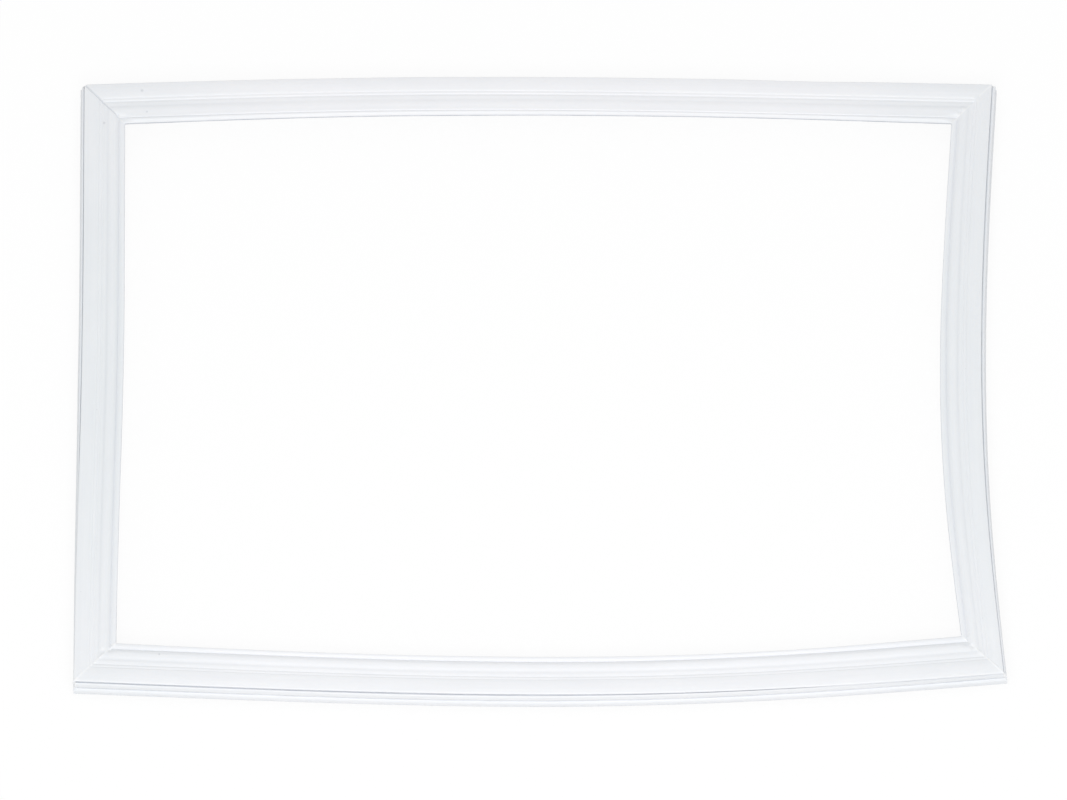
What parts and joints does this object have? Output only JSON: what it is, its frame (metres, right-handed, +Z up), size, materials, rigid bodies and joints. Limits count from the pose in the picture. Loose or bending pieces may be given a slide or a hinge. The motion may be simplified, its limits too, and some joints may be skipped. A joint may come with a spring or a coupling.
{
  "type": "refrigerator door gasket",
  "caption": "White soft magnetic door seal: a hollow extruded profile bent into a closed rectangular frame, mitred and welded at the corners, with magnet strips sealed in its face",
  "frame": {"origin": "on the floor, under the middle of the whole frame", "axes": "+X along the frame's long side, +Y along its short side, +Z up out of the sealing face"},
  "size_m": [0.5754, 0.4204, 0.02],
  "materials": {
    "soft_vinyl": "smooth satin white",
    "magnet_rubber": "matte dark grey"
  },
  "bodies": {
    "root": {"gasket_profile": "soft_vinyl", "magnet_strip_top": "magnet_rubber", "magnet_strip_right": "magnet_rubber", "magnet_strip_bottom": "magnet_rubber", "magnet_strip_left": "magnet_rubber"}
  },
  "joints": []
}
